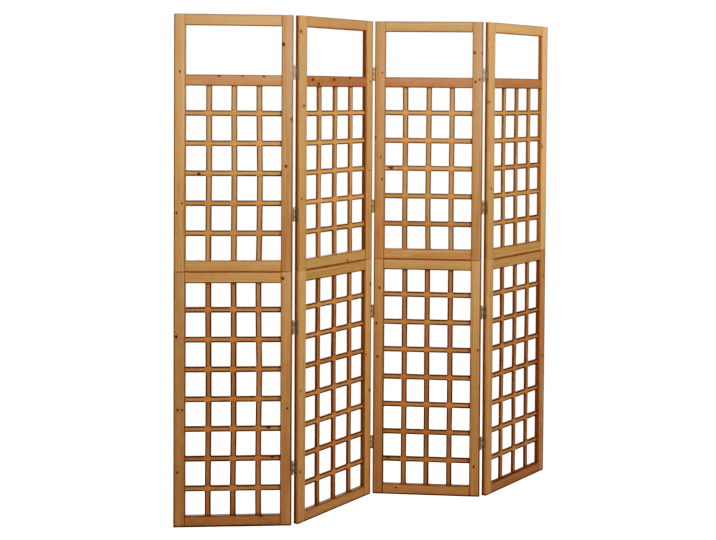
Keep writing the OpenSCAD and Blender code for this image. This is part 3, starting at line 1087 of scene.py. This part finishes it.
# %% [markdown]
# No slat is quite straight. A cage, which Blender calls a lattice, lies over each frame's lattice. Its inner
# points are pushed sideways by a few millimetres at most, and the uprights bend with them. The crossbars'
# notches and the rails' mortises are moved by the same cage, so the joints still fit. The cage's columns are
# the uprights' middle lines, and its two outer columns stay where they are.
# %% How the slats wander
WANDER = 1.6 * MM
# How far the lattices of the first panel bow to the right at mid height, as they do in the photograph.
BOWS = {(1, "upper"): 1.6 * MM, (1, "lower"): 2.4 * MM}
CAGE_ROWS = 6
BENT_PARTS = ("rails", "uprights", "crossbars")


def cage(panel, which):
    """The cage of one frame of a panel, in panel coordinates."""
    low_x, high_x = STILE_W - SLAT_W / 2, PANEL_W - STILE_W + SLAT_W / 2
    bpy.ops.object.select_all(action="DESELECT")
    bpy.ops.object.add(type="LATTICE", location=((low_x + high_x) / 2, SLAT_BACK + SLAT_T / 2, FRAME_H / 2))
    made = bpy.context.object
    made.scale = (high_x - low_x, FRAME_T, FRAME_H)
    grid = made.data
    grid.points_u, grid.points_v, grid.points_w = CELLS_ACROSS + 1, 1, CAGE_ROWS
    grid.interpolation_type_u = "KEY_LINEAR"
    grid.interpolation_type_w = "KEY_CARDINAL"
    pick = random.Random(f"cage {panel} {which}")
    for i, point in enumerate(grid.points):
        row, column = divmod(i, grid.points_u)
        if 0 < column < CELLS_ACROSS:
            bow = BOWS.get((panel, which), 0.0) * math.sin(math.pi * row / (CAGE_ROWS - 1))
            point.co_deform.x += (pick.uniform(-WANDER, WANDER) + bow) / made.scale.x
    return made


print("slats wander by up to", WANDER / MM, "mm")

# %% [markdown]
# Every piece ends in the same way.
# %% What every piece gets
SMOOTH_BELOW = math.radians(35)


def finished(piece, panel, node, material):
    """Gives a piece its material and shading, hides the CAD node it replaces, and attaches it to what it moves
    with.
    """
    piece.data.materials.clear()
    piece.data.materials.append(material)
    only(piece)
    bpy.ops.object.shade_smooth_by_angle(angle=SMOOTH_BELOW)
    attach(piece, panel)
    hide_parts(node)
    return piece


# %% [markdown]
# All four panels are made alike, so each kind of piece is copied four times, dressed as its own timber and
# stood at its panel's place. A right stile is the left one turned over, which also turns its faces inside
# out, so its normals are recalculated.
# %% The wood of the four panels
# For each part its blank and its pine, how wide and long its boards are, and the chance of a knot in one.
WOODWORK = {
    "lower_left_stile": (lower_stile, FRAME_PINE, STILE_W, FRAME_H, 0.4),
    "lower_right_stile": (lower_stile, FRAME_PINE, STILE_W, FRAME_H, 0.4),
    "lower_rails": (lower_rails, FOOT_PINE, RAIL_H, CLEAR_W, 0.05),
    "lower_uprights": (lower_uprights, UPRIGHT_PINE, SLAT_W, LOWER_LATTICE_H, 0.03),
    "lower_crossbars": (lower_crossbars, CROSSBAR_PINE, SLAT_W, CLEAR_W, 0.03),
    "upper_left_stile": (upper_stile, FRAME_PINE, STILE_W, FRAME_H, 0.4),
    "upper_right_stile": (upper_stile, FRAME_PINE, STILE_W, FRAME_H, 0.4),
    "upper_rails": (upper_rails, FRAME_PINE, RAIL_H, CLEAR_W, 0.05),
    "upper_uprights": (upper_uprights, UPRIGHT_PINE, SLAT_W, UPPER_LATTICE_H, 0.03),
    "upper_crossbars": (upper_crossbars, CROSSBAR_PINE, SLAT_W, CLEAR_W, 0.03),
}
END_STILES = {
    (1, "lower_left_stile"): lower_end_stile,
    (1, "upper_left_stile"): upper_end_stile,
    (4, "lower_right_stile"): lower_end_stile,
    (4, "upper_right_stile"): upper_end_stile,
}
TURNED_OVER = Matrix.Translation((PANEL_W, 0, 0)) @ Matrix.Scale(-1, 4, (1, 0, 0))
RAISED = Matrix.Translation((0, 0, FRAME_H))


def woodwork(k, part, cages, blank, material, width, length, chance):
    """One part of panel k, as timber of its own."""
    node = f"panel_{k}_{part}"
    piece = copied(blank, f"wood_{node}")
    mirrored = part.endswith("right_stile")
    dressed(piece, k, part, width, length, chance)
    if part.endswith(BENT_PARTS):
        modified(piece, "LATTICE", object=cages[part.split("_")[0]])
    place = stand(k) @ (RAISED if part.startswith("upper") else Matrix())
    placed(piece, place @ (TURNED_OVER if mirrored else Matrix()))
    if mirrored:
        outward(piece)
    return finished(piece, f"panel_{k}", node, material)


for k in PANELS:
    cages = {which: cage(k, which) for which in ("lower", "upper")}
    for part, (blank, material, width, length, chance) in WOODWORK.items():
        woodwork(k, part, cages, END_STILES.get((k, part), blank), material, width, length, chance)
    for unused in cages.values():
        bpy.data.objects.remove(unused)
blanks = [blank for blank, *_ in WOODWORK.values()] + [lower_end_stile, upper_end_stile]
for name in {blank.name for blank in blanks}:
    bpy.data.objects.remove(bpy.data.objects[name])
print("made", len(PANELS) * len(WOODWORK), "pieces of woodwork")

# %% [markdown]
# A leaf is a strip of sheet steel. Its tabs are rolled round the pin to make the knuckles, which one sees on
# the real hinge as an open curl. It is made the same way here: the plate is bisected at the knuckles' ends,
# every other tab is extruded to the pin, and its end is spun round the pin's line. Corners are rounded and
# the screw holes are countersunk. The drawing is for a ridge, with the pin's line at the origin.
# %% Hinge leaves
KNUCKLE_L = (HINGE_H - (KNUCKLES - 1) * KNUCKLE_GAP) / KNUCKLES
KNUCKLE_STEP = KNUCKLE_L + KNUCKLE_GAP
ROLL_STEPS = 20
ROLL_ANGLE = math.radians(300)
LEAF_CORNER = 2 * MM
CORNER_STEPS = 6
LEAF_BURR = 0.12 * MM
BURR_ANGLE = math.radians(50)


def leaf(name, first_knuckle):
    """The left leaf of a hinge, whose knuckles are first_knuckle, first_knuckle + 2 and so on."""
    tab_y = -PIN_OFF - KNUCKLE_GAP
    outer_y = -PIN_OFF - LEAF_W
    plate = block(name, (-HALF_GAP, outer_y, 0), (-HALF_GAP + LEAF_T, tab_y, HINGE_H))
    tabs = [(i * KNUCKLE_STEP, i * KNUCKLE_STEP + KNUCKLE_L) for i in range(KNUCKLES)]
    own = tabs[first_knuckle::2]
    with editing(plate) as edit:
        edit.pick("EDGE", lambda e: runs_along(0)(e) and abs(e.verts[0].co.y - outer_y) < MM / 2)
        bpy.ops.mesh.bevel(offset=LEAF_CORNER, segments=CORNER_STEPS, affect="EDGES")
        for z in sorted({z for tab in tabs for z in tab})[1:-1]:
            bpy.ops.mesh.select_all(action="SELECT")
            bpy.ops.mesh.bisect(plane_co=(0, 0, z), plane_no=(0, 0, 1))
        edit.pick("FACE", lambda f: f.normal.y > FACING and any(
            low < f.calc_center_median().z < high for low, high in own))
        bpy.ops.mesh.extrude_region_move(TRANSFORM_OT_translate={"value": (0, -tab_y, 0)})
        bpy.ops.mesh.spin(steps=ROLL_STEPS, angle=ROLL_ANGLE, center=(0, 0, 0), axis=(0, 0, 1))
        bpy.ops.mesh.select_all(action="SELECT")
        bpy.ops.mesh.remove_doubles(threshold=LEAF_BURR / 100)
    outward(plate)
    cut(plate, [screw_hole((LEAF_T - HALF_GAP, -PIN_OFF - FRAME_T / 2, z), 90) for z in SCREW_Z])
    return modified(plate, "BEVEL", width=LEAF_BURR, segments=2, angle_limit=BURR_ANGLE)


left_leaf = leaf("left leaf", 0)
right_leaf = leaf("right leaf", 1)
print("a leaf has", len(left_leaf.data.polygons), "faces")

# %% [markdown]
# The pin is a wire with its two ends hammered over. The heads are the wire's ends pushed out and widened,
# with a bevel that makes each a low dome.
# %% Hinge pins
PIN_HEAD_D = 4.2 * MM
PIN_HEAD_H = 0.8 * MM
PIN_DOME = 0.8 * PIN_HEAD_H
DOME_STEPS = 4
PIN_SIDES = 24


def pin():
    """A pin from the foot of a hinge to its top, with both heads."""
    bpy.ops.object.select_all(action="DESELECT")
    bpy.ops.mesh.primitive_cylinder_add(vertices=PIN_SIDES, radius=PIN_D / 2, depth=HINGE_H,
                                        location=(0, 0, HINGE_H / 2))
    piece = bpy.context.object
    bpy.ops.object.transform_apply(location=True, rotation=True, scale=True)
    with editing(piece) as edit:
        for side in (-1, 1):
            edit.pick("FACE", lambda f: f.normal.z * side > FACING)
            middle = edit.middle()
            bpy.ops.mesh.extrude_region_move()
            wider = PIN_HEAD_D / PIN_D
            bpy.ops.transform.resize(value=(wider, wider, 1), center_override=middle)
            bpy.ops.mesh.extrude_region_move(TRANSFORM_OT_translate={"value": (0, 0, side * PIN_HEAD_H)})
            bpy.ops.mesh.region_to_loop()
            bpy.ops.mesh.bevel(offset=PIN_DOME, segments=DOME_STEPS, affect="EDGES")
    return piece


pin_blank = pin()
print("a pin has", len(pin_blank.data.polygons), "faces")

# %% [markdown]
# Every joint has four hinges, two on each frame. The leaves and pins of a joint are copied up the line, and
# for the valley they are turned over, because that hinge sits in front. The left leaf and the pin move with
# the left panel, the right leaf with the right one. The upper hinges have gone browner than the lower ones,
# and the screws most of all. Each screw is turned at random, as it would be after driving.
# %% Hinges on the panels
OPPOSITE_X = Matrix.Scale(-1, 4, (1, 0, 0))
OPPOSITE_Y = Matrix.Scale(-1, 4, (0, 1, 0))
HINGE_BOTTOMS = [f * FRAME_H + z - HINGE_H / 2 for f in (0, 1) for z in HINGE_Z]
# How worn the hinges of a joint are, from the lowest to the highest, and all screws.
HINGE_WEAR = (0.12, 0.25, 0.40, 0.32)
SCREW_WEAR = 0.65


def worn(piece, value):
    """Writes how worn a steel piece is, 0 as new and 1 all brown."""
    written(piece.data, "worn", "FLOAT", "FACE", [value] * len(piece.data.polygons))
    return piece


def up_the_line(j, kind, blank, on_right):
    """Four copies of a hinge piece along joint j, as one piece on the panel at its left or right."""
    panel, x = (j + 1, -HALF_GAP) if on_right else (j, PANEL_W + HALF_GAP)
    turn = (OPPOSITE_Y if is_valley(j) else Matrix()) @ (OPPOSITE_X if on_right else Matrix())
    copies = []
    for z, wear in zip(HINGE_BOTTOMS, HINGE_WEAR):
        piece = worn(copied(blank, "hinge piece"), wear)
        copies.append(placed(piece, stand(panel) @ Matrix.Translation((x, pin_depth(j), z)) @ turn))
    node = f"fold_{j}_{kind}"
    return finished(outward(joined(f"steel_{node}", copies)), f"panel_{panel}", node, LEAF_ZINC)


for j in JOINTS:
    up_the_line(j, "left_leaves", left_leaf, on_right=False)
    up_the_line(j, "right_leaves", right_leaf, on_right=True)
    up_the_line(j, "hinge_pins", pin_blank, on_right=False)


def panel_screws(k):
    """The screws on the hinged edges of panel k."""
    pick = random.Random(f"screws {k}")
    left = [(-LEAF_T, 1)] if k > PANELS[0] else []
    right = [(PANEL_W + LEAF_T, -1)] if k < PANELS[-1] else []
    copies = []
    for x, into in left + right:
        for bottom in HINGE_BOTTOMS:
            for z in SCREW_Z:
                spin = Matrix.Rotation(pick.uniform(0, math.pi / 2), 4, "Z")
                point = Matrix.Rotation(-into * math.pi / 2, 4, "Y")
                place = Matrix.Translation((x, FRAME_T / 2, bottom + z))
                piece = worn(copied(screw_blank, "screw"), SCREW_WEAR)
                copies.append(placed(piece, stand(k) @ place @ point @ spin))
    node = f"panel_{k}_hinge_screws"
    return finished(joined(f"steel_{node}", copies), f"panel_{k}", node, SCREW_ZINC)


for k in PANELS:
    panel_screws(k)
for blank in (screw_blank, plain_screw, left_leaf, right_leaf, pin_blank):
    bpy.data.objects.remove(blank)
print("hung", len(JOINTS) * len(HINGE_BOTTOMS), "hinges")

# %% [markdown]
# The studio is a pale floor that fades into a white surround, as in a catalogue picture. Only the camera sees
# the white. What lights the wood is the plain floor and a weak, warm surround.
# %% Floor and surround
FLOOR_WHITE = (0.80, 0.80, 0.80, 1)
FLOOR_GLOW = 0.9
FLOOR_RADIUS = 14.0
FLOOR_SIDES = 96
FLOOR_CLEAR = (0.6, 3.2)
WHITE = (1, 1, 1, 1)
WHITE_STRENGTH = 1.05
FILL = 0.07
FILL_COLOUR = (1.0, 0.92, 0.84, 1)


def camera_sees(start, hidden, shown, output):
    """Shows the camera one shader and the light of the scene another."""
    camera_ray = start.node("LightPath", out="Is Camera Ray")
    seen = start.node("MixShader", (), {0: camera_ray, 1: hidden, 2: shown})
    seen.tree.links.new(seen.link, seen.tree.nodes[output].inputs["Surface"])


bpy.ops.object.select_all(action="DESELECT")
bpy.ops.mesh.primitive_circle_add(vertices=FLOOR_SIDES, radius=FLOOR_RADIUS, fill_type="NGON")
floor = bpy.context.object
floor.name = "floor"
material, start, shader = new_material("pale floor", Base_Color=FLOOR_WHITE, Roughness=0.8)
surface = Socket(start.tree, shader.outputs[0])
distance = start.node("VectorMath", {"operation": "LENGTH"}, {0: coordinates(start)}, out=1)
glow = start.node("Emission", (), {"Strength": FLOOR_GLOW})
white = start.node("Emission", (), {"Strength": WHITE_STRENGTH})
lifted = start.node("AddShader", (), {0: surface, 1: glow})
faded = start.node("MixShader", (), {0: distance.smooth(*FLOOR_CLEAR), 1: lifted, 2: white})
camera_sees(start, surface, faded, "Material Output")
floor.data.materials.append(material)
floor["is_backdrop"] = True

world = bpy.data.worlds.new("white surround")
bpy.context.scene.world = world
world.use_nodes = True
background = world.node_tree.nodes["Background"]
background.inputs["Strength"].default_value = FILL
background.inputs["Color"].default_value = FILL_COLOUR
start = Socket(world.node_tree)
fill = Socket(world.node_tree, background.outputs[0])
white = start.node("Background", (), {"Color": WHITE, "Strength": WHITE_STRENGTH})
camera_sees(start, fill, white, "World Output")
print("the floor is", 2 * FLOOR_RADIUS, "m wide")

# %% [markdown]
# One wide warm light hangs in front, above the screen, with a grid on it, so the wood grows darker towards
# the floor. A cool light from the right and a weak warm one from the left light both faces of the zigzag, and
# a light behind brightens the edges. The tone curve deepens the shadows and lifts the middle tones, as a
# catalogue picture has them.
# %% Light and tone
FILM_CURVE = ((0.025, 0.006), (0.050, 0.026), (0.115, 0.113), (0.236, 0.300), (0.400, 0.465),
              (0.560, 0.605), (0.800, 0.815))


def soft_light(name, place, target, size, power, colour, spread=180):
    """A rectangular studio light that faces its target. A grid on it narrows the spread of its light."""
    aim = (Vector(target) - Vector(place)).to_track_quat("-Z", "Y")
    bpy.ops.object.light_add(type="AREA", location=place, rotation=aim.to_euler())
    light = bpy.context.object
    light.name = name
    light.data.shape = "RECTANGLE"
    light.data.size, light.data.size_y = size
    light.data.energy = power
    light.data.color = colour
    light.data.spread = math.radians(spread)
    return light


WARM, COOL = (1.0, 0.985, 0.965), (0.90, 0.97, 1.0)
soft_light("key light", (-0.1, -3.2, 2.3), (-0.1, 0.0, 2.0), (3.2, 1.0), 47, WARM, spread=100)
soft_light("right light", (2.4, -2.2, 2.2), (0.0, 0.0, 1.6), (1.4, 1.4), 13, COOL)
soft_light("left light", (-2.4, -2.8, 2.0), (0.0, 0.0, 1.4), (1.4, 1.4), 6, WARM)
soft_light("back light", (0.0, 3.2, 2.2), (0.0, 0.0, 1.5), (3.2, 1.2), 32, WARM, spread=120)
film = bpy.context.scene.view_settings
film.view_transform = "Standard"
film.use_curve_mapping = True
tone_curve = film.curve_mapping.curves[-1]
for light_in, light_out in FILM_CURVE:
    tone_curve.points.new(light_in, light_out)
film.curve_mapping.update()
print("the studio is lit")

# %% [markdown]
# The visual model should fill the same box as the CAD model, so the difference between the two boxes is
# printed.
# %% Size
low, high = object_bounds()
apart = [(a - b) / MM for a, b in zip((*low, *high), (*cad_low, *cad_high))]
print("visual box minus CAD box, mm:", [round(d, 2) for d in apart])
